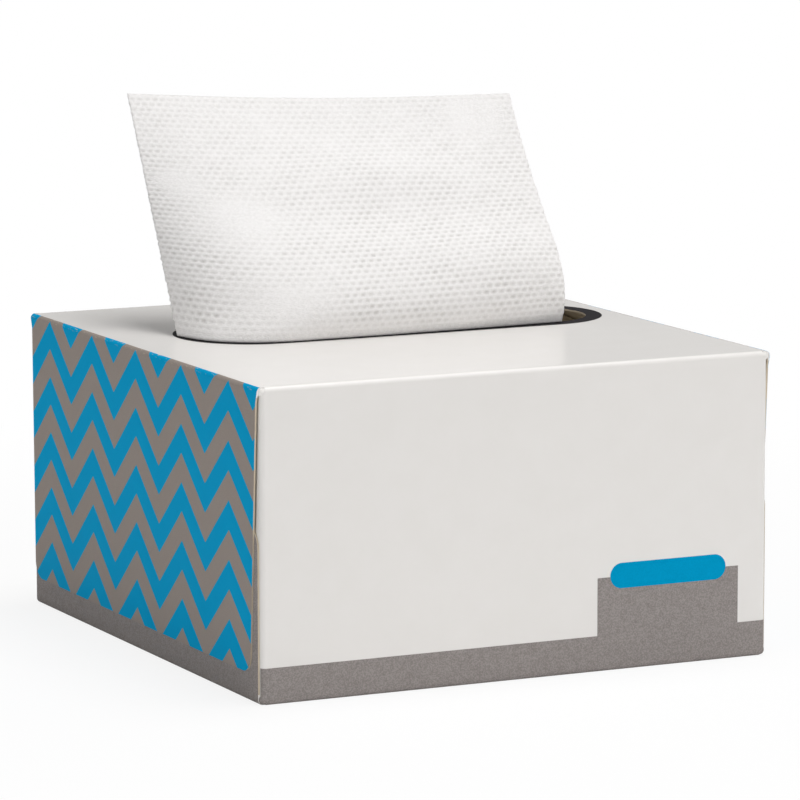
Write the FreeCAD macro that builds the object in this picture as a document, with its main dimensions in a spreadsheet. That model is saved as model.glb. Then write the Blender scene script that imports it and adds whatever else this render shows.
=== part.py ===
import FreeCAD, Part
import Sketcher
import math
import os

# Pop-up napkin carton, 100 napkins, standing on its base.
# Origin: middle of the base, +X along the front wall, front wall towards -Y, +Z up.
# One folded board blank holds the napkins; the top napkin stands out of the opening.

doc = FreeCAD.newDocument("napkin_box")

# Driving sizes in millimetres, one cell each
SIZES = [
    ("box_width", 165.0),            # front wall, between the end folds
    ("box_depth", 174.0),            # front wall to back wall, outside
    ("box_height", 92.0),            # base to top panel, outside
    ("board", 0.5),                  # folding boxboard
    ("fold_radius", 1.5),            # outside of every crease
    ("seam_lap", 14.0),              # maker's glue lap inside the back wall
    ("corner_notch", 0.1),           # upright folds stop short of the long folds' rounding
    ("dust_reach", 62.0),            # dust flaps, from front or back wall inwards
    ("dust_taper", 5.0),
    ("lower_flap_rise", 51.0),       # bottom panel's end flap
    ("lower_flap_inset", 0.2),
    ("lower_flap_round", 6.0),
    ("upper_flap_foot", 8.5),        # height of the top panel's end flap above the base
    ("upper_flap_inset", 0.6),
    ("upper_flap_taper_front", 4.4),
    ("upper_flap_taper_back", 0.8),
    ("upper_flap_round", 5.5),
    ("shoulder_drop", 3.0),
    ("shoulder_step", 1.0),
    ("opening_length", 131.6),
    ("opening_width", 38.0),
    ("opening_right", 7.0),          # opening's middle, right of the box's middle
    ("opening_back", 15.0),          # and behind it
    ("rim_print_width", 5.0),
    ("ink", 0.06),                   # printed colour, drawn thick enough to hold
    ("fold_print_wrap", 70.0),       # degrees of a fold that its colour covers
    ("corner_print_wrap", 80.0),     # degrees of the upright folds that the band covers
    ("zigzag_pitch", 34.25),         # peak to peak
    ("zigzag_rise", 15.1),           # valley to peak
    ("zigzag_stripe", 8.7),          # height of one stripe
    ("zigzag_peak", 13.1),           # lowest grey peak above the base
    ("zigzag_forward", -2.0),        # middle peak, forward of the box's middle
    ("band_height", 10.8),
    ("block_width", 47.3),
    ("block_top", 28.1),
    ("block_from_right", 9.55),      # block to the front wall's right end
    ("pill_length", 38.8),
    ("pill_height", 7.6),
    ("pill_level", 28.3),
    ("stack_end_room", 16.5),        # stack to the outside of either end
    ("stack_wall_room", 6.5),        # stack to the front and back walls, inside
    ("stack_headroom", 15.0),        # stack to the top panel
    ("stack_bundles", 12),           # bundles between the grooves of the folded edges
    ("groove_radius", 0.5),
    ("sheet", 0.4),                  # embossed napkin, all plies
    ("sheet_gap", 0.3),              # napkin to board and to stack
    ("sheet_from_right", 16.3),      # napkin's right edge to the opening's right end
    ("sheet_round_left", 2.5),       # how far its left edge goes round the opening's left end
    ("sheet_rise_left", 70.5),       # top corners above the top panel
    ("sheet_rise_right", 68.3),
    ("sheet_lean_left", 43.9),       # top corners behind the foot
    ("sheet_lean_right", 35.1),
    ("sheet_spread_left", 2.5),      # top left corner further left than the foot
    ("sheet_sag", 1.3),              # top edge's middle below its corners
    ("sheet_belly", 2.4),            # belly over the near rim, as a share of the lean
    ("sheet_drape", 3.0),            # what lies over the near rim
    ("sheet_fold_back", 0.7),        # height of that fold above the rim
]

cells = doc.addObject("Spreadsheet::Sheet", "Sizes")
for row, (name, value) in enumerate(SIZES, start=1):
    cells.set("A%d" % row, name)
    cells.set("B%d" % row, str(value))
    cells.setAlias("B%d" % row, name)
doc.recompute()

half_x = "Sizes.box_width / 2"
half_y = "Sizes.box_depth / 2"


def size(name):
    return float(cells.get(name))


def new_body(label):
    body = doc.addObject("PartDesign::Body", label)
    body.Label = label
    return body


def origin_plane(body, role):
    return next(f for f in body.Origin.OriginFeatures if f.Role == role)


def new_sketch(body, name, role, offset="0"):
    """A sketch on one of the body's own planes, moved along the plane's normal."""
    sketch = body.newObject("Sketcher::SketchObject", name)
    sketch.AttachmentSupport = (origin_plane(body, role), [""])
    sketch.MapMode = "FlatFace"
    sketch.setExpression(".AttachmentOffset.Base.z", offset)
    doc.recompute()
    return sketch


def bind(sketch, constraint, expression):
    index = sketch.addConstraint(constraint)
    sketch.setExpression("Constraints[%d]" % index, expression)


def worth(expression):
    """What an expression over the sheet is worth now."""
    value = cells.evalExpression(expression.replace("Sizes.", ""))
    return float(getattr(value, "Value", value))


def signed_place(sketch, geo, end, across, up):
    """Ties one point of a sketch to the origin by two expressions."""
    for kind, expression in (("DistanceX", across), ("DistanceY", up)):
        value = worth(expression)
        bind(sketch, Sketcher.Constraint(kind, -1, 1, geo, end, value), expression)


def rounding(before, corner, after, radius):
    """Arc in a corner, with its tangent points on the sides before and after it."""
    back = (before - corner).normalize()
    ahead = (after - corner).normalize()
    half = back.getAngle(ahead) / 2
    inward = (back + ahead).normalize()
    centre = corner + inward * (radius / math.sin(half))
    start = corner + back * (radius / math.tan(half))
    end = corner + ahead * (radius / math.tan(half))
    middle = centre - inward * radius
    clockwise = (corner - before).cross(after - corner).z < 0
    arc = Part.Arc(end, middle, start) if clockwise else Part.Arc(start, middle, end)
    return start, arc, end


def outline(sketch, corners):
    """Closed outline of straight sides; a corner is (across, up) or (across, up, radius)."""
    points = [FreeCAD.Vector(worth(c[0]), worth(c[1]), 0) for c in corners]
    count = len(points)
    starts, ends, arcs = list(points), list(points), {}
    for i, corner in enumerate(corners):
        if len(corner) == 3:
            radius = worth(corner[2])
            starts[i], arcs[i], ends[i] = rounding(points[i - 1], points[i],
                                                   points[(i + 1) % count], radius)
    sides = []
    for i in range(count):
        side = Part.LineSegment(ends[i], starts[(i + 1) % count])
        sides.append(sketch.addGeometry(side, False))
    for i, corner in enumerate(corners):
        side, last = sides[i], sides[i - 1]
        if i not in arcs:
            sketch.addConstraint(Sketcher.Constraint("Coincident", last, 2, side, 1))
            signed_place(sketch, side, 1, corner[0], corner[1])
            continue
        arc = sketch.addGeometry(arcs[i], False)
        forward = sketch.Geometry[arc].StartPoint.distanceToPoint(starts[i]) < 1e-6
        near, far = (1, 2) if forward else (2, 1)
        sketch.addConstraint(Sketcher.Constraint("Tangent", last, 2, arc, near))
        sketch.addConstraint(Sketcher.Constraint("Tangent", arc, far, side, 1))
        bind(sketch, Sketcher.Constraint("Radius", arc, worth(corner[2])), corner[2])
        tip = sketch.addGeometry(Part.Point(points[i]), True)
        signed_place(sketch, tip, 1, corner[0], corner[1])
        for edge in (last, side):
            sketch.addConstraint(Sketcher.Constraint("PointOnObject", tip, 1, edge))


def rectangle(sketch, left, right, low, high):
    outline(sketch, [(left, low), (right, low), (right, high), (left, high)])


def slot(sketch, middle, level, length, width):
    """Long hole with fully round ends."""
    reach = "(%s - (%s)) / 2" % (length, width)
    left = "%s - %s" % (middle, reach)
    right = "%s + %s" % (middle, reach)
    radius = "(%s) / 2" % width
    lift = worth(level)
    r = worth(radius)
    a = FreeCAD.Vector(worth(left), lift, 0)
    b = FreeCAD.Vector(worth(right), lift, 0)
    rise = FreeCAD.Vector(0, r, 0)
    up = FreeCAD.Vector(0, 0, 1)
    n = sketch.GeometryCount
    quarter = math.pi / 2
    sketch.addGeometry(Part.ArcOfCircle(Part.Circle(a, up, r), quarter, 3 * quarter), False)
    sketch.addGeometry(Part.LineSegment(a - rise, b - rise), False)
    sketch.addGeometry(Part.ArcOfCircle(Part.Circle(b, up, r), -quarter, quarter), False)
    sketch.addGeometry(Part.LineSegment(b + rise, a + rise), False)
    for one, two in ((0, 1), (1, 2), (2, 3), (3, 0)):
        sketch.addConstraint(Sketcher.Constraint("Tangent", n + one, 2, n + two, 1))
    sketch.addConstraint(Sketcher.Constraint("Equal", n, n + 2))
    bind(sketch, Sketcher.Constraint("Radius", n, r), radius)
    signed_place(sketch, n, 3, left, level)
    signed_place(sketch, n + 2, 3, right, level)


def pad(body, sketch, name, length, midplane=False, reverse=False):
    """A pad, with a check that it adds material."""
    before = body.Shape.Volume if body.Tip else 0
    feature = body.newObject("PartDesign::Pad", name)
    feature.Profile = sketch
    feature.setExpression("Length", length)
    feature.Midplane = midplane
    feature.Reversed = reverse
    doc.recompute()
    assert body.Shape.Volume > before + 1e-6, name + " adds nothing"
    return feature


def pocket(body, sketch, name, length, midplane=False, reverse=False):
    """A pocket, with a check that it takes material away."""
    before = body.Shape.Volume
    feature = body.newObject("PartDesign::Pocket", name)
    feature.Profile = sketch
    feature.setExpression("Length", length)
    feature.Midplane = midplane
    feature.Reversed = reverse
    doc.recompute()
    assert body.Shape.Volume < before - 1e-6, name + " cuts nothing"
    return feature


def edges_at(shape, along, place):
    """Names of the straight edges along one axis whose middle has the given coordinates."""
    axis = "xyz".index(along)
    found = []
    for number, edge in enumerate(shape.Edges, start=1):
        if edge.Curve.TypeId != "Part::GeomLine":
            continue
        direction = edge.tangentAt(edge.FirstParameter)
        if abs(direction[axis]) < 0.999:
            continue
        middle = edge.CenterOfMass
        if all(abs(middle["xyz".index(k)] - worth(v)) < 1e-4 for k, v in place.items()):
            found.append("Edge%d" % number)
    assert found, "no edge at %s" % place
    return found


def fillet(body, names, name, radius):
    solid = body.Tip
    feature = body.newObject("PartDesign::Fillet", name)
    feature.Base = (solid, names)
    feature.setExpression("Radius", radius)
    doc.recompute()
    assert "Invalid" not in feature.State, name + " fails"
    return feature


def crease(body, name, along, outer, inner):
    """Rounds a fold: the outside by the fold radius, the inside by what the board leaves."""
    fillet(body, edges_at(body.Shape, along, outer), name + "_outside", "Sizes.fold_radius")
    fillet(body, edges_at(body.Shape, along, inner), name + "_inside",
           "Sizes.fold_radius - Sizes.board")


# Levels and faces that more than one piece uses
panel_end = half_x + " - Sizes.fold_radius"
in_y = half_y + " - Sizes.board"
in_top = "Sizes.box_height - Sizes.board"
fold_foot = "Sizes.fold_radius + Sizes.corner_notch"
dust_face = half_x
lower_face = half_x + " + Sizes.board"
upper_face = half_x + " + 2 * Sizes.board"
stack_x = half_x + " - Sizes.stack_end_room"
stack_y = in_y + " - Sizes.stack_wall_room"
stack_rise = in_top + " - Sizes.stack_headroom - Sizes.board"
block_middle = half_x + " - Sizes.block_from_right - Sizes.block_width / 2"
upper_half = half_y + " - Sizes.upper_flap_inset"
lower_half = half_y + " - Sizes.fold_radius - Sizes.lower_flap_inset"


def sleeve(body):
    """Front, top, back and bottom panels, folded round and glued along one lap."""
    sketch = new_sketch(body, "sleeve_section", "YZ_Plane")
    rectangle(sketch, "-(%s)" % half_y, half_y, "0", "Sizes.box_height")
    rectangle(sketch, "-(%s)" % in_y, in_y, "Sizes.board", in_top)
    pad(body, sketch, "sleeve", "2 * (%s)" % panel_end, midplane=True)
    lap = new_sketch(body, "seam_lap_section", "YZ_Plane")
    lap_face = in_y + " - Sizes.board"
    rectangle(lap, lap_face, in_y, "Sizes.board", "Sizes.board + Sizes.seam_lap")
    pad(body, lap, "seam_lap", "2 * (%s)" % panel_end, midplane=True)
    front, inner_front = "-(%s)" % half_y, "-(%s)" % in_y
    high = "Sizes.box_height"
    crease(body, "front_bottom", "x", {"y": front, "z": "0"}, {"y": inner_front, "z": "Sizes.board"})
    crease(body, "front_top", "x", {"y": front, "z": high}, {"y": inner_front, "z": in_top})
    crease(body, "back_bottom", "x", {"y": half_y, "z": "0"}, {"y": lap_face, "z": "Sizes.board"})
    crease(body, "back_top", "x", {"y": half_y, "z": high}, {"y": in_y, "z": in_top})


def dust_flaps(body, side, s):
    """Flaps of the front and back walls, the innermost layer of an end."""
    low = fold_foot
    high = "Sizes.box_height - (%s)" % fold_foot
    inside = "%d * (%s - Sizes.board)" % (s, panel_end)
    face = "%d * (%s)" % (s, dust_face)
    back = "%d * (%s - Sizes.board)" % (s, dust_face)
    fold = new_sketch(body, side + "_dust_fold_section", "XY_Plane", low)
    for f in (-1, 1):
        wall = "%d * (%s)" % (f, half_y)
        inner_wall = "%d * (%s)" % (f, in_y)
        past_fold = "%d * (%s - 2 * Sizes.fold_radius)" % (f, half_y)
        outline(fold, [(inside, wall), (face, wall, "Sizes.fold_radius"), (face, past_fold),
                       (back, past_fold), (back, inner_wall, "Sizes.fold_radius - Sizes.board"),
                       (inside, inner_wall)])
    pad(body, fold, side + "_dust_folds", "(%s) - (%s)" % (high, low))
    flaps = new_sketch(body, side + "_dust_flap_outline", "YZ_Plane", face)
    tip = "Sizes.dust_taper"
    for f in (-1, 1):
        hinge = "%d * (%s - Sizes.fold_radius)" % (f, half_y)
        end = "%d * (%s - Sizes.dust_reach)" % (f, half_y)
        outline(flaps, [(hinge, low), (end, low + " + " + tip),
                        (end, high + " - " + tip), (hinge, high)])
    pad(body, flaps, side + "_dust_flaps", "Sizes.board", reverse=(s > 0))


def lower_flap(body, side, s):
    """End flap of the bottom panel, glued over the dust flaps."""
    lip = new_sketch(body, side + "_lower_lip_section", "XZ_Plane")
    rectangle(lip, "%d * (%s)" % (s, panel_end), "%d * (%s)" % (s, lower_face),
              "0", "Sizes.board")
    pad(body, lip, side + "_lower_lip", "2 * (%s)" % lower_half, midplane=True)
    flap = new_sketch(body, side + "_lower_flap_outline", "YZ_Plane",
                      "%d * (%s)" % (s, lower_face))
    top = "Sizes.lower_flap_rise"
    outline(flap, [("-(%s)" % lower_half, "0"), (lower_half, "0"),
                   (lower_half, top, "Sizes.lower_flap_round"),
                   ("-(%s)" % lower_half, top, "Sizes.lower_flap_round")])
    pad(body, flap, side + "_lower_flap", "Sizes.board", reverse=(s > 0))
    outer = {"x": "%d * (%s)" % (s, lower_face), "z": "0"}
    fillet(body, edges_at(body.Shape, "y", outer), side + "_lower_fold_outside",
           "Sizes.fold_radius")


def upper_flap(body, side, s):
    """End flap of the top panel, the outermost layer, glued over the lower flap."""
    lip = new_sketch(body, side + "_upper_lip_section", "XZ_Plane")
    rectangle(lip, "%d * (%s)" % (s, panel_end), "%d * (%s)" % (s, upper_face),
              in_top, "Sizes.box_height")
    pad(body, lip, side + "_upper_lip", "2 * (%s)" % upper_half, midplane=True)
    flap = new_sketch(body, side + "_upper_flap_outline", "YZ_Plane",
                      "%d * (%s)" % (s, upper_face))
    step = upper_half + " - Sizes.shoulder_step"
    root = "Sizes.box_height - Sizes.fold_radius"
    shoulder = root + " - Sizes.shoulder_drop"
    back, front = [
        [(step + " - " + taper, "Sizes.upper_flap_foot", "Sizes.upper_flap_round"),
         (step, shoulder), (upper_half, root), (upper_half, "Sizes.box_height")]
        for taper in ("Sizes.upper_flap_taper_back", "Sizes.upper_flap_taper_front")]
    outline(flap, back + [("-(%s)" % corner[0],) + corner[1:] for corner in reversed(front)])
    pad(body, flap, side + "_upper_flap", "Sizes.board", reverse=(s > 0))
    crease(body, side + "_upper_fold", "y",
           {"x": "%d * (%s)" % (s, upper_face), "z": "Sizes.box_height"},
           {"x": "%d * (%s - Sizes.board)" % (s, upper_face), "z": in_top})


def carton():
    body = new_body("carton")
    sleeve(body)
    for side, s in (("left", -1), ("right", 1)):
        dust_flaps(body, side, s)
        lower_flap(body, side, s)
        upper_flap(body, side, s)
    hole = new_sketch(body, "opening_outline", "XY_Plane", "Sizes.box_height")
    slot(hole, "Sizes.opening_right", "Sizes.opening_back", "Sizes.opening_length",
         "Sizes.opening_width")
    pocket(body, hole, "opening", "2 * Sizes.board")
    return body


def rim_print():
    """Dark printed border around the opening."""
    body = new_body("opening_rim_print")
    ring = new_sketch(body, "rim_print_outline", "XY_Plane", "Sizes.box_height")
    place = ("Sizes.opening_right", "Sizes.opening_back")
    slot(ring, *place, "Sizes.opening_length + 2 * Sizes.rim_print_width",
         "Sizes.opening_width + 2 * Sizes.rim_print_width")
    slot(ring, *place, "Sizes.opening_length", "Sizes.opening_width")
    pad(body, ring, "rim_print", "Sizes.ink")
    return body


def feature(label, shape):
    part = doc.addObject("Part::Feature", label)
    part.Label = label
    part.Shape = shape
    return part


def wrapped_skin(centre, out, turn, straight, along, wrap_size="fold_print_wrap"):
    """Colour on a flat face that goes on round its fold; centre is the fold's axis."""
    radius, ink = size("fold_radius"), size("ink")
    wrap = math.radians(size(wrap_size))

    def on_fold(angle, r):
        return centre + out * (r * math.cos(angle)) + turn * (r * math.sin(angle))

    inner = [on_fold(a, radius) for a in (wrap, wrap / 2, 0)]
    outer = [on_fold(a, radius + ink) for a in (0, wrap / 2, wrap)]
    low_in, low_out = inner[2] - turn * straight, outer[0] - turn * straight
    edges = [Part.Arc(*inner).toShape(), Part.makeLine(inner[2], low_in),
             Part.makeLine(low_in, low_out), Part.makeLine(low_out, outer[0]),
             Part.Arc(*outer).toShape(), Part.makeLine(outer[2], inner[0])]
    return Part.Face(Part.Wire(edges)).extrude(along)


def outline_prism(sketch, depth):
    """An outline's sketch carried through to both sides of its plane, along X."""
    face = Part.Face(sketch.Shape.Wires[0])
    face.translate(FreeCAD.Vector(-depth, 0, 0))
    return face.extrude(FreeCAD.Vector(2 * depth, 0, 0))


def zigzag_stripe(level, thick, across):
    """Prism along X of one zigzag stripe whose upper peaks are at a level."""
    pitch, rise = size("zigzag_pitch"), size("zigzag_rise")
    middle = -size("zigzag_forward")
    reach = math.ceil(size("box_depth") / pitch) + 1
    top = [FreeCAD.Vector(-across, middle + i * pitch / 2, level - (i % 2) * rise)
           for i in range(-reach, reach + 1)]
    low = [p - FreeCAD.Vector(0, 0, thick) for p in reversed(top)]
    face = Part.Face(Part.makePolygon(top + low + top[:1]))
    return face.extrude(FreeCAD.Vector(2 * across, 0, 0))


def zigzag_prints(side, s):
    """Blue and grey zigzag of an upper flap and its fold: two inks side by side."""
    height, radius = size("box_height"), size("fold_radius")
    face_x = s * worth(upper_face)
    half = worth(upper_half)
    centre = FreeCAD.Vector(face_x - s * radius, -half, height - radius)
    skin = wrapped_skin(centre, FreeCAD.Vector(s, 0, 0), FreeCAD.Vector(0, 0, 1),
                        height - radius - size("upper_flap_foot"),
                        FreeCAD.Vector(0, 2 * half, 0))
    sketch = doc.getObject(side + "_upper_flap_outline")
    skin = skin.common(outline_prism(sketch, 2 * radius))
    thick = size("zigzag_stripe")
    across = abs(face_x) + radius
    count = math.ceil((height + size("zigzag_rise")) / (2 * thick)) + 1
    stripes = [zigzag_stripe(size("zigzag_peak") + (2 * k + 1) * thick, thick, across)
               for k in range(count)]
    blue = skin.common(Part.makeCompound(stripes))
    grey = skin.cut(Part.makeCompound(stripes))
    return [feature("zigzag_blue_" + side, blue), feature("zigzag_grey_" + side, grey)]


def base_bands(board):
    """Grey band round the foot: front and back walls, and what shows of the lower flaps."""
    radius = size("fold_radius")
    down = FreeCAD.Vector(0, 0, -1)
    bands = []
    rise = size("band_height") - radius
    reach = worth(panel_end)
    for name, f in (("front", -1), ("back", 1)):
        centre = FreeCAD.Vector(-reach, f * (size("box_depth") / 2 - radius), radius)
        skin = wrapped_skin(centre, FreeCAD.Vector(0, f, 0), down, rise,
                            FreeCAD.Vector(2 * reach, 0, 0))
        foot = worth(fold_foot)
        tall = FreeCAD.Vector(0, 0, size("band_height") - foot)
        ends = [wrapped_skin(FreeCAD.Vector(s * reach, centre.y, foot), FreeCAD.Vector(0, f, 0),
                             FreeCAD.Vector(s, 0, 0), radius, tall, "corner_print_wrap")
                for s in (-1, 1)]
        bands.append(feature("base_band_" + name, skin.fuse(ends).removeSplitter()))
    half = worth(lower_half)
    for side, s in (("left", -1), ("right", 1)):
        centre = FreeCAD.Vector(s * (worth(lower_face) - radius), -half, radius)
        skin = wrapped_skin(centre, FreeCAD.Vector(s, 0, 0), down,
                            size("lower_flap_rise") - radius, FreeCAD.Vector(0, 2 * half, 0))
        flap = outline_prism(doc.getObject(side + "_lower_flap_outline"), 2 * radius)
        bands.append(feature("base_band_" + side, skin.common(flap).cut(board)))
    return bands


def front_label():
    """Grey block and blue pill low on the front wall."""
    pill = new_body("front_pill_print")
    sketch = new_sketch(pill, "pill_outline", "XZ_Plane", half_y)
    slot(sketch, block_middle, "Sizes.pill_level", "Sizes.pill_length", "Sizes.pill_height")
    pad(pill, sketch, "pill", "Sizes.ink")
    block = doc.addObject("Part::Box", "block_field")
    block.setExpression("Length", "Sizes.block_width")
    block.setExpression("Width", "Sizes.ink")
    block.setExpression("Height", "Sizes.block_top - Sizes.band_height")
    block.setExpression("Placement.Base.x", block_middle + " - Sizes.block_width / 2")
    block.setExpression("Placement.Base.y", "-(%s) - Sizes.ink" % half_y)
    block.setExpression("Placement.Base.z", "Sizes.band_height")
    cut = doc.addObject("Part::Cut", "front_block_print")
    cut.Label = "front_block_print"
    cut.Base = block
    cut.Tool = pill
    doc.recompute()
    return [cut, pill]


def napkin_stack():
    """Interfolded napkins on the bottom panel; grooves mark bundles of folded edges."""
    body = new_body("napkin_stack")
    base = new_sketch(body, "stack_outline", "XY_Plane", "Sizes.board")
    rectangle(base, "-(%s)" % stack_x, stack_x, "-(%s)" % stack_y, stack_y)
    pad(body, base, "stack", stack_rise)
    pitch = "(%s) / Sizes.stack_bundles" % stack_rise
    grooves = new_sketch(body, "groove_section", "YZ_Plane")
    for f in (-1, 1):
        radius = size("groove_radius")
        edge = "%d * (%s)" % (f, stack_y)
        level = "Sizes.board + " + pitch
        circle = Part.Circle(FreeCAD.Vector(worth(edge), worth(level), 0),
                             FreeCAD.Vector(0, 0, 1), radius)
        geo = grooves.addGeometry(circle, False)
        bind(grooves, Sketcher.Constraint("Radius", geo, radius), "Sizes.groove_radius")
        signed_place(grooves, geo, 3, edge, level)
    cut = pocket(body, grooves, "groove", "4 * (%s)" % stack_x, midplane=True)
    rows = body.newObject("PartDesign::LinearPattern", "grooves")
    rows.Originals = [cut]
    rows.Direction = (origin_plane(body, "Z_Axis"), [""])
    rows.setExpression("Occurrences", "Sizes.stack_bundles - 1")
    rows.setExpression("Length", "%s - 2 * %s" % (stack_rise, pitch))
    body.Tip = rows
    doc.recompute()
    return body


def rim_point(way, inset):
    """Point and outward direction on the opening's near edge, from its left end on."""
    radius = size("opening_width") / 2
    reach = size("opening_length") / 2 - radius
    turn = math.pi / 2 * radius
    angle = math.pi + min(way, turn) / radius
    out = FreeCAD.Vector(math.cos(angle), math.sin(angle), 0)
    across = size("opening_right") - reach + max(0, way - turn)
    return FreeCAD.Vector(across, size("opening_back"), 0) + out * (radius - inset), out


# Shares of the sheet's height at which its free part is shaped, and how finely it is cut
SHEET_HEIGHTS = (0.08, 0.2, 0.36, 0.6, 1.0)
SHEET_LINES = 7
FACETS_ACROSS = 14
FACETS_UP = 18


def napkin_line(share, way, head):
    """Points up one line of the sheet: stack, opening, near rim, belly and top edge."""
    inset = size("sheet_gap") + size("sheet") / 2
    foot, out = rim_point(way, inset)
    top = size("box_height")
    seat = size("board") + worth(stack_rise) + size("sheet_gap")
    drape = size("sheet_drape") * (1 - 0.75 * share ** 4)
    lap = top + size("ink") + inset + size("sheet_fold_back")
    line = [FreeCAD.Vector(foot.x, foot.y, z) for z in (seat, (seat + top) / 2, top, lap)]
    over = foot + out * drape
    line.append(FreeCAD.Vector(over.x, over.y, lap + size("sheet")))
    belly = size("sheet_belly") * min(1.0, 3 * share)
    for w in SHEET_HEIGHTS:
        spot = foot + (head - foot) * w + out * (drape * (1 - w))
        forward = belly * (head.y - foot.y) * w * (1 - w) ** 3
        sag = size("sheet_sag") * math.sin(math.pi * share) * w ** 4
        line.append(FreeCAD.Vector(spot.x, spot.y - forward, top + head.z * w - sag))
    return line


def sheet_surface(lines):
    """Cubic surface pulled by a net of points, reaching its outermost ones."""
    degree = 3
    spans = [len(net) - degree for net in (lines, lines[0])]
    mults = [[degree + 1] + [1] * (count - 1) + [degree + 1] for count in spans]
    knots = [[i / count for i in range(count + 1)] for count in spans]
    surface = Part.BSplineSurface()
    surface.buildFromPolesMultsKnots(lines, *mults, *knots, False, False, degree, degree)
    return surface


def thick_sheet(surface, thickness, across, up):
    """Solid of even thickness about a surface, as a net of small ruled faces."""
    def skin(offset):
        return [[surface.value(i / across, j / up) + surface.normal(i / across, j / up) * offset
                 for j in range(up + 1)] for i in range(across + 1)]

    def ruled(a, b, c, d):
        return Part.makeRuledSurface(Part.makeLine(a, b), Part.makeLine(c, d))

    front, back = skin(thickness / 2), skin(-thickness / 2)
    faces = []
    for net in (front, back):
        for one, two in zip(net, net[1:]):
            faces += [ruled(one[j], one[j + 1], two[j], two[j + 1]) for j in range(up)]
    for i in (0, across):
        faces += [ruled(front[i][j], front[i][j + 1], back[i][j], back[i][j + 1])
                  for j in range(up)]
    for j in (0, up):
        faces += [ruled(front[i][j], front[i + 1][j], back[i][j], back[i + 1][j])
                  for i in range(across)]
    shell = Part.makeShell(faces)
    shell.sewShape()
    solid = Part.makeSolid(shell)
    if solid.Volume < 0:
        solid.reverse()
    return solid


def pulled_napkin():
    """The top napkin, drawn up through the opening, over its near rim and leaning back."""
    radius = size("opening_width") / 2
    start = -size("sheet_round_left")
    end = (math.pi / 2 - 1) * radius + size("opening_length") - size("sheet_from_right")
    inset = size("sheet_gap") + size("sheet") / 2
    left = rim_point(start, inset)[0] + FreeCAD.Vector(
        -size("sheet_spread_left"), size("sheet_lean_left"), size("sheet_rise_left"))
    right = rim_point(end, inset)[0] + FreeCAD.Vector(
        0, size("sheet_lean_right"), size("sheet_rise_right"))
    shares = [i / SHEET_LINES for i in range(SHEET_LINES + 1)]
    lines = [napkin_line(share, start + (end - start) * share, left + (right - left) * share)
             for share in shares]
    sheet = thick_sheet(sheet_surface(lines), size("sheet"), FACETS_ACROSS, FACETS_UP)
    return feature("pulled_napkin", sheet)


board = carton()
parts = [board, rim_print()]
for side, s in (("left", -1), ("right", 1)):
    parts += zigzag_prints(side, s)
parts += base_bands(board.Shape)
parts += front_label()
parts += [napkin_stack(), pulled_napkin()]
doc.recompute()

for thing in doc.Objects:
    assert not {"Invalid", "Error"} & set(thing.State), thing.Name
for part in parts:
    assert not part.Shape.isNull() and part.Shape.isValid(), part.Label
    print(part.Label, len(part.Shape.Solids), round(part.Shape.Volume, 2))

os.makedirs("parts", exist_ok=True)
for part in parts:
    part.Shape.exportStep("parts/%s.step" % part.Label)
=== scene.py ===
import math

import bmesh
import bpy
import numpy as np
from mathutils import Matrix, Vector


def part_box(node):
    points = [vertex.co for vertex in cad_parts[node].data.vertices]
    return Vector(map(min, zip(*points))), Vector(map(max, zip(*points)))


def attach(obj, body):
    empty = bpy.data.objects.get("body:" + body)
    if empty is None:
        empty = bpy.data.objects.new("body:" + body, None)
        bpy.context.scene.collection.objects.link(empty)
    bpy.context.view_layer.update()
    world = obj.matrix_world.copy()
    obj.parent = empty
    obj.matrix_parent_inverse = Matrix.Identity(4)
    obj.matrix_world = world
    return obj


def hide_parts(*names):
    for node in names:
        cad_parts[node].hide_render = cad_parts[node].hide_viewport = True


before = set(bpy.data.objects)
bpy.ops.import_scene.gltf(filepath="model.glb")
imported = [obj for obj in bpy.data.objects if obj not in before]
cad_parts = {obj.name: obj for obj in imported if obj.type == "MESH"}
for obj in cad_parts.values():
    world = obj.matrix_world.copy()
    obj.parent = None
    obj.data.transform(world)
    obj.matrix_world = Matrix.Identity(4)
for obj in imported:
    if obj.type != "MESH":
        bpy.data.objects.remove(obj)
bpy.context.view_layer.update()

# Box of interfolded napkins on a pale floor. Metres; +X along the front wall, +Z up.
MM = 0.001


# Sizes of the real box, read from the frame or stated in millimetres

CARTON_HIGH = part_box("carton")[1]
RING_LOW, RING_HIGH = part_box("opening_rim_print")
STACK_LOW, STACK_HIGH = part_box("napkin_stack")

BOARD = 0.5 * MM
FOLD_RADIUS = 1.5 * MM               # outside of a crease
RING_WIDTH = 5 * MM                  # dark border of the opening
TOP = CARTON_HIGH[2]
HALF_DEPTH = CARTON_HIGH[1]
HALF_WIDTH = CARTON_HIGH[0] - 2 * BOARD          # to the dust flaps, under two more layers

OPENING_X = (RING_LOW[0] + RING_HIGH[0]) / 2
OPENING_Y = (RING_LOW[1] + RING_HIGH[1]) / 2
OPENING_RADIUS = (RING_HIGH[1] - RING_LOW[1]) / 2 - RING_WIDTH
OPENING_REACH = (RING_HIGH[0] - RING_LOW[0]) / 2 - RING_WIDTH - OPENING_RADIUS
QUARTER_TURN = math.pi / 2 * OPENING_RADIUS      # half of the opening's round end


# Colours and nodes

WHITE = (1, 1, 1, 1)


def linear(code):
    """Linear red, green, blue and alpha of an sRGB hex value."""
    parts = [int(code[i:i + 2], 16) / 255 for i in (1, 3, 5)]
    light = [c / 12.92 if c <= 0.04045 else ((c + 0.055) / 1.055) ** 2.4 for c in parts]
    return (*light, 1.0)


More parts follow.
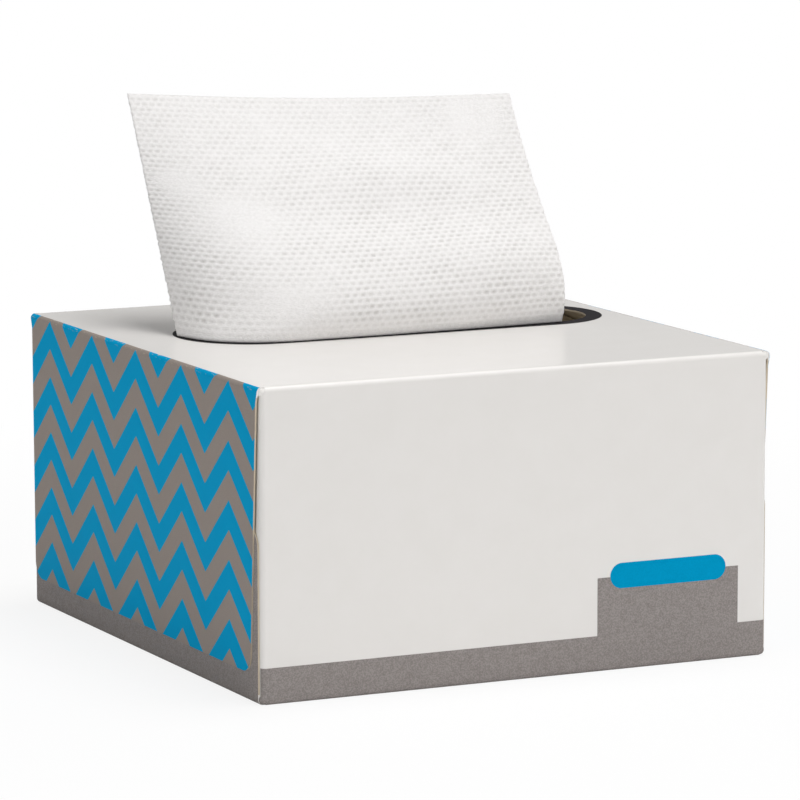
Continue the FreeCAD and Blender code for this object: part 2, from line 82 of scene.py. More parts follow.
def add_node(owner, kind, inputs=None, **settings):
    """Adds a node to a material or the world.

    An input takes a value, a socket, or a node, whose first output it reads.
    """
    tree = owner.node_tree
    node = tree.nodes.new(kind)
    for name, value in settings.items():
        setattr(node, name, value)
    for key, value in (inputs or {}).items():
        if isinstance(value, bpy.types.Node):
            value = value.outputs[0]
        if isinstance(value, bpy.types.NodeSocket):
            tree.links.new(value, node.inputs[key])
        else:
            node.inputs[key].default_value = value
    return node


def new_material(name):
    material = bpy.data.materials.new(name)
    material.use_nodes = True
    material.node_tree.nodes.clear()
    return material


def place_in_mm(material):
    """The point's place on the object, in millimetres."""
    place = add_node(material, "ShaderNodeTexCoord").outputs["Object"]
    return add_node(material, "ShaderNodeVectorMath", {0: place, 1: (1 / MM, 1 / MM, 1 / MM)},
                    operation="MULTIPLY")


def finish_material(material, surface_inputs):
    surface = add_node(material, "ShaderNodeBsdfPrincipled", surface_inputs)
    add_node(material, "ShaderNodeOutputMaterial", {"Surface": surface})
    return material


# Board

WHITE_COAT = linear("#EEEBE8")       # clay-coated white
COAT_SHADOW = linear("#EAE7E3")      # where the coating is thinner
TAN_BACK_PAINTED_LIGHT = linear("#E4D8C0")         # uncoated back of recycled board, drawn much lighter than its own tan: painted light
TAN_FIBRE_PAINTED_LIGHT = linear("#CDBC9C")
CUT_EDGE = linear("#CDBFA9")         # die-cut edge, its core showing

COAT_MOTTLE_MM = 9.0                 # cloudiness of the coating
COAT_GRAIN_MM = 0.9                  # orange peel of the varnish, real 0.3 mm drawn coarser
FIBRE_MM = 0.7                       # fibre flecks on the back
COAT_ROUGHNESS, BACK_ROUGHNESS = 0.24, 0.85
GRAIN_HEIGHT = 0.05 * MM             # of the orange peel and the fibres
GRAIN_STRENGTH = 0.05
EDGE_ON = 0.3                        # a face runs along an axis where its normal has less of it


def coated_board():
    """Clay-coated boxboard, calendered and varnished: satin white outside, bare tan inside drawn
    lighter as painted light.
    """
    material = new_material("coated_boxboard")
    place = place_in_mm(material)
    mottle = add_node(material, "ShaderNodeTexNoise",
                      {"Vector": place, "Scale": 1 / COAT_MOTTLE_MM, "Detail": 3.0})
    white = add_node(material, "ShaderNodeMixRGB",
                     {"Fac": mottle, "Color1": WHITE_COAT, "Color2": COAT_SHADOW})
    fibre = add_node(material, "ShaderNodeTexNoise",
                     {"Vector": place, "Scale": 1 / FIBRE_MM, "Detail": 6.0, "Roughness": 0.7})
    # Painted light: the bare back is drawn far lighter than the board's own tan, to light the
    # shaded inside of the box
    tan = add_node(material, "ShaderNodeMixRGB",
                   {"Fac": fibre, "Color1": TAN_BACK_PAINTED_LIGHT, "Color2": TAN_FIBRE_PAINTED_LIGHT})

    # Distance out from the box inside the fold axes: 1.0 on the walls' inner face, 1.5 outside.
    # The end flaps lie further out, so their tan side is told by its facing inwards.
    radius = FOLD_RADIUS / MM
    middle = (0, 0, TOP / MM / 2)
    fold_axes = (HALF_WIDTH / MM - radius, HALF_DEPTH / MM - radius, TOP / MM / 2 - radius)
    centred = add_node(material, "ShaderNodeVectorMath", {0: place, 1: middle},
                       operation="SUBTRACT")
    mirrored = add_node(material, "ShaderNodeVectorMath", {0: centred}, operation="ABSOLUTE")
    beyond = add_node(material, "ShaderNodeVectorMath", {0: mirrored, 1: fold_axes},
                      operation="SUBTRACT")
    outward = add_node(material, "ShaderNodeVectorMath", {0: beyond, 1: (0, 0, 0)},
                       operation="MAXIMUM")
    distance = add_node(material, "ShaderNodeVectorMath", {0: outward},
                        operation="LENGTH").outputs["Value"]
    inner_layer = add_node(material, "ShaderNodeMath",
                           {0: distance, 1: radius - BOARD / MM / 2}, operation="LESS_THAN")
    normal = add_node(material, "ShaderNodeNewGeometry").outputs["Normal"]
    side = add_node(material, "ShaderNodeVectorMath", {0: centred}, operation="SIGN")
    turned = add_node(material, "ShaderNodeVectorMath", {0: normal, 1: side},
                      operation="MULTIPLY")
    outness = add_node(material, "ShaderNodeVectorMath", {0: turned, 1: outward},
                       operation="DOT_PRODUCT").outputs["Value"]
    faces_in = add_node(material, "ShaderNodeMath", {0: outness, 1: -BOARD / MM},
                        operation="LESS_THAN")
    is_back = add_node(material, "ShaderNodeMath", {0: inner_layer, 1: faces_in},
                       operation="MAXIMUM")
    board = add_node(material, "ShaderNodeMixRGB",
                     {"Fac": is_back, "Color1": white, "Color2": tan})

    # Cut edges are where all tests of a row hold: the wall of the opening, then the outlines of
    # the outer flaps below their upper fold
    plain_normal = add_node(material, "ShaderNodeVectorMath", {0: normal}, operation="ABSOLUTE")
    facing = add_node(material, "ShaderNodeSeparateXYZ", {0: plain_normal})
    spot = add_node(material, "ShaderNodeSeparateXYZ", {0: mirrored})
    cut_edges = (((facing.outputs["Z"], "LESS_THAN", EDGE_ON),
                  (spot.outputs["Y"], "LESS_THAN", (RING_HIGH[1] + RING_WIDTH) / MM),
                  (spot.outputs["Z"], "GREATER_THAN", (TOP / 2 - 1.1 * BOARD) / MM),
                  (spot.outputs["X"], "LESS_THAN", fold_axes[0] - 1)),
                 ((facing.outputs["X"], "LESS_THAN", EDGE_ON),
                  (spot.outputs["X"], "GREATER_THAN", HALF_WIDTH / MM + 0.01),
                  (spot.outputs["Z"], "LESS_THAN", fold_axes[2] - radius)))
    is_cut = 0.0
    for tests in cut_edges:
        in_all = 1.0
        for measure, test, limit in tests:
            passed = add_node(material, "ShaderNodeMath", {0: measure, 1: limit}, operation=test)
            in_all = add_node(material, "ShaderNodeMath", {0: in_all, 1: passed},
                              operation="MULTIPLY")
        is_cut = add_node(material, "ShaderNodeMath", {0: is_cut, 1: in_all},
                          operation="MAXIMUM")
    colour = add_node(material, "ShaderNodeMixRGB",
                      {"Fac": is_cut, "Color1": board, "Color2": CUT_EDGE})

    bare = add_node(material, "ShaderNodeMath", {0: is_back, 1: is_cut}, operation="MAXIMUM")
    roughness = add_node(material, "ShaderNodeMapRange",
                         {"Value": bare, "To Min": COAT_ROUGHNESS, "To Max": BACK_ROUGHNESS})
    peel = add_node(material, "ShaderNodeTexNoise",
                    {"Vector": place, "Scale": 1 / COAT_GRAIN_MM, "Detail": 2.0})
    grain = add_node(material, "ShaderNodeMixRGB",
                     {"Fac": bare, "Color1": peel.outputs[0], "Color2": fibre.outputs[0]})
    bump = add_node(material, "ShaderNodeBump",
                    {"Height": grain, "Strength": GRAIN_STRENGTH, "Distance": GRAIN_HEIGHT})
    return finish_material(material, {"Base Color": colour, "Roughness": roughness,
                                      "Normal": bump})


# Inks, each in the colour of its even film and in that of its clouds and specks

BLUE = (linear("#049BCB"), linear("#0295C4"))
GREY = (linear("#A29B98"), linear("#87817E"))
CHARCOAL = (linear("#2B292B"), linear("#302E30"))
ZIGZAG_BLUE = (linear("#04A3D6"), linear("#029DD0"))
ZIGZAG_GREY = (linear("#A0968E"), linear("#9A9089"))

INK_MOTTLE_MM = 2.5                  # uneven laydown of a solid ink
INK_SPECK_MM = 0.4                   # specks of board through the ink, real 0.2 mm drawn coarser
MOTTLE_SHARE = 0.25                  # of the unevenness; the rest is specks
CRACK_MM = (0.35, 2.2, 0.35)         # cracks of the ink across a crease
CRACK_FROM, CRACK_OPEN = 0.62, 0.7   # in the noise that places the cracks
INK_ROUGHNESS = 0.4
INK_SHINE = 0.005                    # of an ink that has dried into the board, nearly none


def printed_ink(name, film, uneven_film, cracked=False):
    """Offset ink dried on board: flat, a little cloudy and specked, cracked at a crease."""
    material = new_material(name)
    place = place_in_mm(material)
    mottle = add_node(material, "ShaderNodeTexNoise",
                      {"Vector": place, "Scale": 1 / INK_MOTTLE_MM, "Detail": 5.0})
    cloud = add_node(material, "ShaderNodeMapRange",
                     {"Value": mottle, "From Min": 0.3, "From Max": 0.7})
    speck = add_node(material, "ShaderNodeTexNoise",
                     {"Vector": place, "Scale": 1 / INK_SPECK_MM, "Detail": 2.0})
    specks = add_node(material, "ShaderNodeMapRange",
                      {"Value": speck, "From Min": 0.38, "From Max": 0.62})
    uneven = add_node(material, "ShaderNodeMixRGB",
                      {"Fac": MOTTLE_SHARE, "Color1": specks, "Color2": cloud})
    shown = add_node(material, "ShaderNodeMixRGB",
                     {"Fac": uneven, "Color1": film, "Color2": uneven_film})
    if cracked:
        stretched = add_node(material, "ShaderNodeVectorMath", {0: place, 1: CRACK_MM},
                             operation="DIVIDE")
        crack = add_node(material, "ShaderNodeTexNoise", {"Vector": stretched, "Scale": 1.0,
                                                          "Detail": 2.0})
        height = add_node(material, "ShaderNodeSeparateXYZ", {0: place}).outputs["Z"]
        crease = add_node(material, "ShaderNodeMapRange",
                          {"Value": height, "From Min": (TOP - FOLD_RADIUS) / MM,
                           "From Max": (TOP - 0.2 * FOLD_RADIUS) / MM})
        split = add_node(material, "ShaderNodeMapRange",
                         {"Value": crack, "From Min": CRACK_FROM, "From Max": CRACK_OPEN})
        open_crack = add_node(material, "ShaderNodeMath", {0: split, 1: crease},
                              operation="MULTIPLY")
        shown = add_node(material, "ShaderNodeMixRGB",
                         {"Fac": open_crack, "Color1": shown, "Color2": CUT_EDGE})
    peel = add_node(material, "ShaderNodeTexNoise",
                    {"Vector": place, "Scale": 1 / COAT_GRAIN_MM, "Detail": 2.0})
    bump = add_node(material, "ShaderNodeBump",
                    {"Height": peel, "Strength": GRAIN_STRENGTH, "Distance": GRAIN_HEIGHT})
    return finish_material(material, {"Base Color": shown, "Roughness": INK_ROUGHNESS,
                                      "Specular IOR Level": INK_SHINE, "Normal": bump})


# Napkin paper

TISSUE_WHITE = linear("#F4F2F1")
TISSUE_SHADE = linear("#E6E4E2")
TISSUE_PRESSED_AND_PAINTED_SHADE = linear("#CDCAC7")   # bottom of the embossed dashes: its plies pressed together, and painted shade in the recess
FIBRE_CLOUD_MM = 6.0                 # uneven formation of the sheet
FIBRE_SPECK_MM = 0.8                 # fibre clumps, real 0.4 mm drawn coarser
CREPE_MM = (0.9, 0.9, 0.35)          # crepe lines, real 0.2 mm drawn coarser
CREPE_HEIGHT = 0.3 * MM
CREPE_STRENGTH = 0.8
TISSUE_ROUGHNESS = 0.95
TISSUE_SHEEN = 0.15                  # loose fibres, lit at the edges


def soft_tissue():
    """Two-ply creped tissue: matte, fibrous, with a soft sheen at the edges."""
    material = new_material("creped_tissue")
    place = place_in_mm(material)
    formation = add_node(material, "ShaderNodeTexNoise",
                         {"Vector": place, "Scale": 1 / FIBRE_CLOUD_MM, "Detail": 6.0})
    speck = add_node(material, "ShaderNodeTexNoise",
                     {"Vector": place, "Scale": 1 / FIBRE_SPECK_MM, "Detail": 3.0})
    clumps = add_node(material, "ShaderNodeMapRange",
                      {"Value": speck, "From Min": 0.35, "From Max": 0.65})
    uneven = add_node(material, "ShaderNodeMath", {0: formation, 1: clumps},
                      operation="MULTIPLY")
    paper = add_node(material, "ShaderNodeMixRGB",
                     {"Fac": uneven, "Color1": TISSUE_WHITE, "Color2": TISSUE_SHADE})
    # Painted shade: each dash is darkened by its depth, for its pressed plies and for the shade
    # in its recess
    pressed = add_node(material, "ShaderNodeAttribute", attribute_name="pressed").outputs["Fac"]
    colour = add_node(material, "ShaderNodeMixRGB",
                      {"Fac": pressed, "Color1": paper, "Color2": TISSUE_PRESSED_AND_PAINTED_SHADE})
    stretched = add_node(material, "ShaderNodeVectorMath", {0: place, 1: CREPE_MM},
                         operation="DIVIDE")
    crepe = add_node(material, "ShaderNodeTexNoise", {"Vector": stretched, "Scale": 1.0,
                                                      "Detail": 4.0, "Roughness": 0.65})
    bump = add_node(material, "ShaderNodeBump",
                    {"Height": crepe, "Strength": CREPE_STRENGTH, "Distance": CREPE_HEIGHT})
    return finish_material(material, {"Base Color": colour, "Roughness": TISSUE_ROUGHNESS,
                                      "Sheen Weight": TISSUE_SHEEN, "Normal": bump})


# The pulled napkin

SHEET = 0.3 * MM
GAP = 0.5 * MM                       # middle of the sheet to the board's edge
ROUND_LEFT = 2.5 * MM                # how far it goes round the opening's left end
FROM_RIGHT = 16.3 * MM               # right edge to the opening's right end
RISE_LEFT, RISE_RIGHT = 70.2 * MM, 68.0 * MM     # upper corners above the top panel
LEAN_LEFT, LEAN_RIGHT = 43.9 * MM, 35.1 * MM     # upper corners behind the near edge
SPREAD_LEFT = 2.5 * MM               # upper left corner to the left of its foot
SAG = 1.5 * MM                       # middle of the upper edge below its corners
DRAPE = 4.9 * MM                     # what lies over the near rim, at the left
DRAPE_LOST = 0.75                    # share of it that is gone at the right
DRAPE_HOLDS = (0.5, 0.9, 1.0)        # shares of it at which the sheet is held down on the rim
LAP = 0.32 * MM                      # middle of the sheet above the top panel, on the rim
BELLY = 2.4                          # swing to the front, as a share of the lean
BELLY_GROWTH = 3                     # it is full from a third of the width on
HEIGHTS = (0.08, 0.2, 0.36, 0.6, 0.8, 1.0)       # shares of the rise where the sheet is held
STATIONS = 14                        # lines of control points, from left to right
DENSE_ACROSS, DENSE_DOWN = 160, 240  # samples, before they are spread evenly

ROW_PITCH = 1.95 * MM                # embossed dashes
DASH_PITCH = 2.7 * MM
DASH_DEPTH = 0.38 * MM
ROW_POWER, DASH_POWER, DASH_FILL = 1.2, 0.8, 1.25          # thin rows, long dashes, flat floors
STEPS_A_ROW, STEPS_A_DASH = 4.5, 4   # points of the mesh
FORMED_FROM = 6 * MM                 # above the top panel, where dashes and dents are in full
RAGGED = 0.09 * MM                   # unevenness of the side edges
EDGE_SEED = 4


def spline_basis(count, samples):
    """Weights of the control points of an open cubic spline at evenly spread samples."""
    degree = 3
    knots = np.concatenate([np.zeros(degree), np.arange(count - degree + 1),
                            np.full(degree, count - degree)])
    t = np.clip(samples * (count - degree), 0, count - degree - 1e-9)
    weights = ((t[:, None] >= knots[:-1]) & (t[:, None] < knots[1:])).astype(float)
    for k in range(1, degree + 1):
        left_span = knots[k:-1] - knots[:-k - 1]
        right_span = knots[k + 1:] - knots[1:-k]
        left = np.divide(t[:, None] - knots[:-k - 1], left_span,
                         out=np.zeros((len(t), len(left_span))), where=left_span > 0)
        right = np.divide(knots[k + 1:] - t[:, None], right_span,
                          out=np.zeros((len(t), len(right_span))), where=right_span > 0)
        weights = left * weights[:, :-1] + right * weights[:, 1:]
    return weights


def near_edge(way):
    """Point and outward direction on the opening's near edge, from its left end on."""
    angle = math.pi + min(way, QUARTER_TURN) / OPENING_RADIUS
    x = OPENING_X - OPENING_REACH + max(0.0, way - QUARTER_TURN)
    out = np.array([math.cos(angle), math.sin(angle), 0.0])
    return np.array([x, OPENING_Y, 0.0]) + out * (OPENING_RADIUS - GAP), out


def napkin_points():
    """Control points of the sheet: one line up it at each station along the opening's edge."""
    length = QUARTER_TURN + 2 * OPENING_REACH + OPENING_RADIUS - FROM_RIGHT + ROUND_LEFT
    left = near_edge(-ROUND_LEFT)[0] + np.array([-SPREAD_LEFT, LEAN_LEFT, RISE_LEFT])
    right = near_edge(length - ROUND_LEFT)[0] + np.array([0, LEAN_RIGHT, RISE_RIGHT])
    seat, lap = STACK_HIGH[2] + GAP, TOP + LAP
    lines = []
    for share in np.linspace(0, 1, STATIONS):
        foot, out = near_edge(length * share - ROUND_LEFT)
        head = left + (right - left) * share
        drape = DRAPE * (1 - DRAPE_LOST * share ** 4)

        # Up from the stack past the board's edge, out on to the rim, and up again
        line = [foot + np.array([0, 0, z]) for z in (seat, (seat + TOP) / 2, TOP, lap + GAP)]
        line += [foot + out * drape * hold + np.array([0, 0, lap]) for hold in DRAPE_HOLDS]
        line.append(foot + out * drape + np.array([0, 0, lap + GAP]))
        belly = BELLY * min(1.0, BELLY_GROWTH * share)
        for w in HEIGHTS:
            spot = foot + (head - foot) * w + out * (drape * (1 - w))
            forward = belly * (head[1] - foot[1]) * w * (1 - w) ** 3
            sag = SAG * math.sin(math.pi * share) * w ** 4
            line.append(np.array([spot[0], spot[1] - forward, TOP + head[2] * w - sag]))
        lines.append(line)
    return np.array(lines)


def even_steps(points, steps, axis):
    """The surface with its samples at even distances along one axis, and its mean length."""
    points = np.moveaxis(points, axis, 0)
    legs = np.linalg.norm(np.diff(points, axis=0), axis=2).mean(axis=1)
    way = np.concatenate([[0], np.cumsum(legs)])
    wanted = np.linspace(0, way[-1], steps)
    index = np.clip(np.searchsorted(way, wanted) - 1, 0, len(way) - 2)
    part = ((wanted - way[index]) / legs[index])[:, None, None]
    even = points[index] * (1 - part) + points[index + 1] * part
    return np.moveaxis(even, 0, axis), way[-1]


def soft_spot(across, down, centre, size):
    """A smooth round weight, 1 at its centre and about a fifth of that a size away."""
    far = ((across - centre[0]) / size[0]) ** 2 + ((down - centre[1]) / size[1]) ** 2
    return np.exp(-1.5 * far)


# Where the dashes are smoothed out: middle as millimetres from the sheet's top left corner, size
# to each side, and the share of their depth that goes
SMOOTH_PATCHES = (((11, 33), (10, 6), 1.0), ((30, 47), (18, 13), 1.0), ((38, 78), (17, 11), 1.0),
                  ((118, 8), (11, 10), 1.0), ((62, 6), (110, 32), 0.5))
LEAST_DEPTH = 0.1                    # share of the dashes' depth that stays everywhere
# Uneven pressing of the dashes: direction, wavelength and share of the depth that it takes off
UNEVEN_PRESSING = ((0.3, 23 * MM, 0.2), (1.9, 17 * MM, 0.2), (1.1, 7.3 * MM, 0.25),
                   (2.6, 5.9 * MM, 0.25))
# Soft dents and swells: middle and size in the same way, then millimetres towards the front
SWELLS = (((36, 46), (22, 16), -0.9), ((78, 30), (34, 11), 1.6), ((78, 47), (34, 11), -1.5),
          ((110, 67), (24, 13), 2.2), ((30, 80), (26, 9), -0.8), ((122, 80), (5, 9), -0.8))


def dashes(across, down):
    """Depth of the embossing: short dashes in staggered rows, 0 to 1."""
    row = down / ROW_PITCH
    number = np.floor(row + 0.5)
    in_row = 0.5 + 0.5 * np.cos(2 * np.pi * row)
    along = 0.5 + 0.5 * np.cos(2 * np.pi * (across / DASH_PITCH + 0.5 * number))
    return np.clip(in_row ** ROW_POWER * along ** DASH_POWER * DASH_FILL, 0, 1)


def pressing(across, down):
    """How deep the dashes are pressed from place to place, as a share of their full depth."""
    depth = np.ones_like(down)
    for middle, size, share in SMOOTH_PATCHES:
        depth -= share * soft_spot(across / MM, down / MM, middle, size)
    depth = np.clip(depth, LEAST_DEPTH, 1)
    for angle, wave, share in UNEVEN_PRESSING:
        along = np.cos(angle) * across + np.sin(angle) * down
        depth *= 1 - share * (0.5 + 0.5 * np.sin(2 * np.pi * along / wave + 5 * angle))
    return depth


def grid_faces(rows, columns, first, flip):
    """Four-sided faces of a grid of points whose numbers start at first."""
    corner = (first + np.arange(rows - 1)[:, None] * columns + np.arange(columns - 1)).ravel()
    faces = np.stack([corner, corner + 1, corner + columns + 1, corner + columns], axis=1)
    return faces[:, ::-1] if flip else faces


def rim_faces(rows, columns, second):
    """Faces that close a front and a back grid along their four edges."""
    last = rows * columns - columns
    loop = np.concatenate([np.arange(columns), np.arange(1, rows) * columns + columns - 1,
                           np.arange(last + columns - 2, last - 1, -1),
                           np.arange(rows - 2, 0, -1) * columns])
    after = np.roll(loop, -1)
    return np.stack([loop, after, after + second, loop + second], axis=1)


def new_mesh(name, points, faces):
    mesh = bpy.data.meshes.new(name)
    mesh.from_pydata([tuple(p) for p in points], [], [tuple(int(i) for i in f) for f in faces])
    mesh.validate()
    return mesh


def new_object(name, mesh, material):
    mesh.polygons.foreach_set("use_smooth", [True] * len(mesh.polygons))
    mesh.materials.append(material)
    thing = bpy.data.objects.new(name, mesh)
    bpy.context.scene.collection.objects.link(thing)
    return thing


def finish_piece(name, mesh, material):
    """A smooth piece that moves with the box and takes its finish from one of the slots."""
    piece = new_object(name, mesh, material)
    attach(piece, "root")
    return piece


def pulled_napkin(material):
    """The sheet drawn out of the opening, with its embossing, soft dents and ragged sides."""
    control = napkin_points()
    across_basis = spline_basis(control.shape[0], np.linspace(0, 1, DENSE_ACROSS))
    up_basis = spline_basis(control.shape[1], np.linspace(1, 0, DENSE_DOWN))
    dense = np.einsum("ai,bj,ijk->bak", across_basis, up_basis, control)
    _, length = even_steps(dense, 2, 0)
    _, width = even_steps(dense, 2, 1)
    rows = int(length / ROW_PITCH * STEPS_A_ROW)
    columns = int(width / DASH_PITCH * STEPS_A_DASH)
    dense, _ = even_steps(dense, rows, 0)
    points, _ = even_steps(dense, columns, 1)

    down, across = np.meshgrid(np.linspace(0, length, rows), np.linspace(0, width, columns),
                               indexing="ij")
    right = np.gradient(points, axis=1)
    up = -np.gradient(points, axis=0)
    front = np.cross(right, up)
    front /= np.linalg.norm(front, axis=2, keepdims=True)

    out_of_box = np.clip((points[:, :, 2] - TOP) / FORMED_FROM, 0, 1)
    swell = sum(high * soft_spot(across / MM, down / MM, middle, size)
                for middle, size, high in SWELLS) * MM
    pits = dashes(across, down) * pressing(across, down) * out_of_box
    lift = swell * out_of_box - DASH_DEPTH * pits
    rng = np.random.default_rng(EDGE_SEED)
    ragged = rng.normal(0, RAGGED, (rows, 2)) * out_of_box[:, [0, -1]]
    points = points + front * lift[:, :, None]
    points[:, 0, 0] += ragged[:, 0]
    points[:, -1, 0] += ragged[:, 1]

    both = np.concatenate([(points + front * SHEET / 2).reshape(-1, 3),
                           (points - front * SHEET / 2).reshape(-1, 3)])
    count = rows * columns
    faces = np.concatenate([grid_faces(rows, columns, 0, True),
                            grid_faces(rows, columns, count, False),
                            rim_faces(rows, columns, count)])
    napkin = finish_piece("pulled_napkin_sheet",
                          new_mesh("pulled_napkin_sheet", both, faces), material)
    # The dashes' depth, which the tissue's colour reads to paint shade into them
    pressed = napkin.data.attributes.new("pressed", "FLOAT", "POINT")
    pressed.data.foreach_set("value", np.tile(pits.ravel(), 2))
    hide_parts("pulled_napkin")


# The stack inside

LAYERS = 30
LAYER_SHIFT = 0.5 * MM               # how far the folded edges stand in and out
LAYER_LEVELS = (0.04, 0.3, 0.7, 0.96)            # shares of a layer's height, round its fold
EDGE_WAVE = 0.1 * MM                 # unevenness of a folded edge
CROWN = 1.6 * MM                     # middle of the top above its edges
CROWN_RINGS = 12
CORNER = 2.5 * MM
SIDE_STEPS = 45                      # points along each side of a layer
STACK_SEED = 7


def stack_ring(inset, level):
    """Points round the stack with rounded corners, some way inside its full size."""
    half = np.array([STACK_HIGH[0], STACK_HIGH[1]]) - inset
    side = np.linspace(-1, 1, SIDE_STEPS, endpoint=False)
    one = np.ones_like(side)
    square = np.concatenate([np.stack(pair, axis=1) for pair in
                             ((side, -one), (one, side), (-side, one), (-one, -side))]) * half
    core = np.clip(square, CORNER - half, half - CORNER)
    beyond = square - core
    far = np.linalg.norm(beyond, axis=1, keepdims=True)
    flat = np.max(np.abs(beyond), axis=1, keepdims=True)
    rounded = core + beyond * np.divide(flat, far, out=np.ones_like(far), where=far > 0)
    return np.column_stack([rounded, np.full(len(rounded), level)])


def napkin_stack(material):
    """Interfolded napkins: soft folded edges in layers, under a slightly crowned top."""
    rng = np.random.default_rng(STACK_SEED)
    thick = (STACK_HIGH[2] - CROWN - STACK_LOW[2]) / LAYERS
    columns = 4 * SIDE_STEPS
    rings = []
    for layer in range(LAYERS):
        shift = rng.uniform(0, LAYER_SHIFT)
        wave = rng.normal(0, EDGE_WAVE, columns)
        wave = (wave + np.roll(wave, 1) + np.roll(wave, 2)) / 3
        for up in LAYER_LEVELS:
            fold = thick * 0.5 * (1 - math.sqrt(1 - (2 * up - 1) ** 2))
            ring = stack_ring(shift + fold, STACK_LOW[2] + thick * (layer + up))
            ring[:, :2] *= 1 - np.abs(wave[:, None]) / STACK_HIGH[0]
            rings.append(ring)
    edge = rings[-1]
    for share in np.linspace(0, 1, CROWN_RINGS + 2)[1:-1]:
        ring = edge * (1 - share, 1 - share, 1)
        ring[:, 2] += CROWN * math.sin(math.pi / 2 * share)
        rings.append(ring)

    points = np.concatenate(rings + [[[0, 0, STACK_HIGH[2]], [0, 0, STACK_LOW[2]]]])
    faces = []
    for row in range(len(rings) - 1):
        for i in range(columns):
            after = (i + 1) % columns
            faces.append((row * columns + i, row * columns + after,
                          (row + 1) * columns + after, (row + 1) * columns + i))
    top, foot = len(points) - 2, len(points) - 1
    last = (len(rings) - 1) * columns
    for i in range(columns):
        after = (i + 1) % columns
        faces.append((last + i, last + after, top))
        faces.append((after, i, foot))
    stack = finish_piece("interfolded_stack", new_mesh("interfolded_stack", points, faces),
                         material)
    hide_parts("napkin_stack")


# The corners of the carton, where three creases meet and the board is crushed

TOP_FOLD_OUT = 0.9 * MM              # how far the upper flaps' folds stand outside the walls'
FOOT_FOLD_OUT = 0.4 * MM             # the same for the lower flaps' folds
CRUSHED = 0.08 * MM                  # how far a corner is sunk below the folds round it


def crushed_corners(name, level, fold_out, material):
    """Board pressed round at four corners: a ball in the walls' fold, one in the end flap's."""
    mesh = bmesh.new()
    for side in (-1, 1):
        for end in (-1, 1):
            for out in (0, fold_out):
                middle = (side * (HALF_WIDTH - FOLD_RADIUS + out),
                          end * (HALF_DEPTH - FOLD_RADIUS), level)
                bmesh.ops.create_uvsphere(mesh, u_segments=24, v_segments=16,
                                          radius=FOLD_RADIUS - CRUSHED,
                                          matrix=Matrix.Translation(middle))
    data = bpy.data.meshes.new(name)
    mesh.to_mesh(data)
    mesh.free()
    finish_piece(name, data, material)


# Dressing of the fixed parts

def dress(node, material):
    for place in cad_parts[node].material_slots:
        place.material = material


tissue = soft_tissue()
zigzag_blue = printed_ink("blue_offset_ink_creased", *ZIGZAG_BLUE, cracked=True)
zigzag_grey = printed_ink("grey_offset_ink_creased", *ZIGZAG_GREY, cracked=True)
blue = printed_ink("blue_offset_ink", *BLUE)
grey = printed_ink("grey_offset_ink", *GREY)
charcoal = printed_ink("charcoal_offset_ink", *CHARCOAL)

white_board = coated_board()
dress("carton", white_board)
crushed_corners("crushed_top_corners", TOP - FOLD_RADIUS, TOP_FOLD_OUT, white_board)
crushed_corners("crushed_foot_corners", FOLD_RADIUS, FOOT_FOLD_OUT, grey)
dress("opening_rim_print", charcoal)
for side in ("left", "right"):
    dress("zigzag_blue_" + side, zigzag_blue)
    dress("zigzag_grey_" + side, zigzag_grey)
for side in ("left", "right", "front", "back"):
    dress("base_band_" + side, grey)
dress("front_block_print", grey)
dress("front_pill_print", blue)
napkin_stack(tissue)
pulled_napkin(tissue)


# Floor, lamps and camera

FLOOR_WHITE = linear("#F4F4F4")
FLOOR_SIZE = 12.0
FLOOR_GLOW = 0.86                    # share of plain white that the camera sees at the box
FADE_START, FADE_END = 0.12, 0.42    # from the box's middle, where that share goes up to 1

# Each softbox: its name, its place, the point that it faces, its width and its watts
SOFTBOXES = (("front_softbox", (0.3, -1.7, 0.9), (0, 0, 0.06), 0.9, 8.4),
             ("top_softbox", (0.3, -0.12, 1.5), (0, 0, 0.08), 0.8, 13.8),
             ("left_fill", (-1.7, -0.3, 0.5), (0, 0, 0.06), 0.9, 3.3))
ROOM_LIGHT = 0.33                    # the white room's light on the box; the camera sees 1


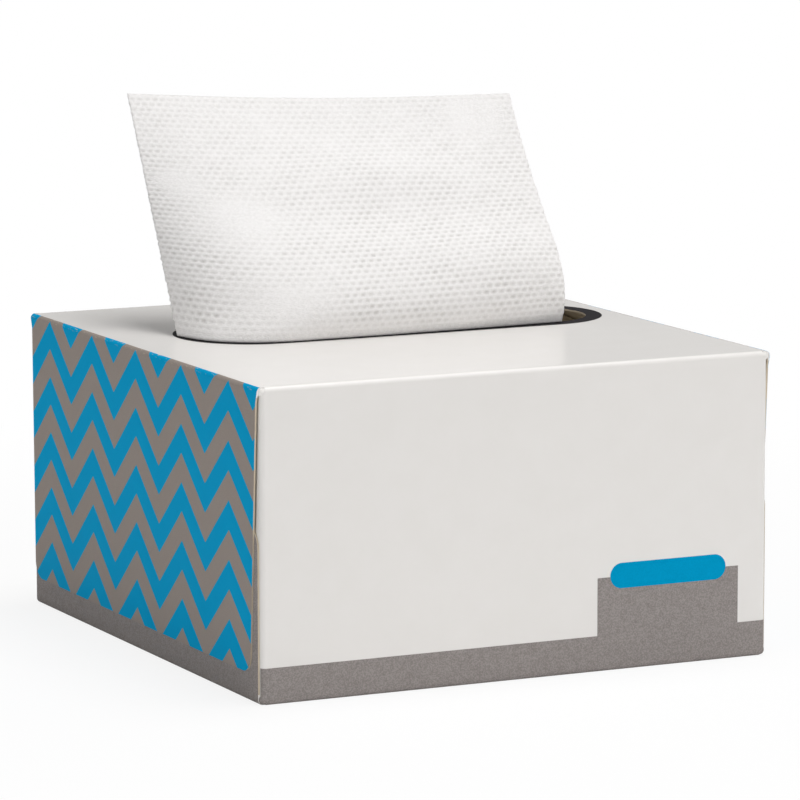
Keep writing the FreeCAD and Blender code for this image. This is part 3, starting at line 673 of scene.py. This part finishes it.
def pale_floor():
    """Seamless matte paper: holds the box's shadow, and runs out into plain white."""
    material = new_material("pale_seamless_paper")
    place = add_node(material, "ShaderNodeTexCoord").outputs["Object"]
    away = add_node(material, "ShaderNodeVectorMath", {0: place},
                    operation="LENGTH").outputs["Value"]
    fade = add_node(material, "ShaderNodeMapRange",
                    {"Value": away, "From Min": FADE_START, "From Max": FADE_END,
                     "To Min": FLOOR_GLOW, "To Max": 1.0})
    seen = add_node(material, "ShaderNodeLightPath").outputs["Is Camera Ray"]
    share = add_node(material, "ShaderNodeMath", {0: seen, 1: fade}, operation="MULTIPLY")
    paper = add_node(material, "ShaderNodeBsdfDiffuse", {"Color": FLOOR_WHITE})
    glow = add_node(material, "ShaderNodeEmission", {"Color": WHITE, "Strength": 1.0})
    mixed = add_node(material, "ShaderNodeMixShader", {0: share, 1: paper, 2: glow})
    add_node(material, "ShaderNodeOutputMaterial", {"Surface": mixed})
    half = FLOOR_SIZE / 2
    corners = [(-half, -half, 0), (half, -half, 0), (half, half, 0), (-half, half, 0)]
    new_object("floor", new_mesh("floor", corners, [(0, 1, 2, 3)]), material)


def soft_lamp(name, place, target, size, power):
    data = bpy.data.lights.new(name, "AREA")
    data.size = size
    data.energy = power
    lamp = bpy.data.objects.new(name, data)
    lamp.location = place
    lamp.rotation_euler = (Vector(target) - Vector(place)).to_track_quat("-Z", "Y").to_euler()
    bpy.context.scene.collection.objects.link(lamp)


def studio_light():
    """Three softboxes in a white room."""
    for softbox in SOFTBOXES:
        soft_lamp(*softbox)
    room = bpy.data.worlds.new("studio_white")
    room.use_nodes = True
    room.node_tree.nodes.clear()
    seen = add_node(room, "ShaderNodeLightPath").outputs["Is Camera Ray"]
    strength = add_node(room, "ShaderNodeMapRange",
                        {"Value": seen, "To Min": ROOM_LIGHT, "To Max": 1.0})
    back = add_node(room, "ShaderNodeBackground", {"Color": WHITE, "Strength": strength})
    add_node(room, "ShaderNodeOutputWorld", {"Surface": back})
    bpy.context.scene.world = room


# Solved from the photograph's edges in its 800 by 800 frame
CAMERA_PLACE = (-0.65664, -1.36778, 0.30502)
CAMERA_YAW = math.radians(25.7535)
CAMERA_PITCH = math.radians(8.7745)
CAMERA_ROLL = math.radians(-0.05)
CAMERA_LENS, CAMERA_SENSOR = 225.884, 36         # millimetres


def photo_camera():
    data = bpy.data.cameras.new("camera")
    data.lens = CAMERA_LENS
    data.sensor_width = CAMERA_SENSOR
    data.clip_start = 0.01
    camera = bpy.data.objects.new("camera", data)
    turn = (Matrix.Rotation(-CAMERA_YAW, 4, "Z")
            @ Matrix.Rotation(math.pi / 2 - CAMERA_PITCH, 4, "X")
            @ Matrix.Rotation(CAMERA_ROLL, 4, "Z"))
    camera.matrix_world = Matrix.Translation(CAMERA_PLACE) @ turn
    bpy.context.scene.collection.objects.link(camera)
    bpy.context.scene.camera = camera


pale_floor()
studio_light()
photo_camera()
bpy.context.scene.view_settings.view_transform = "Standard"
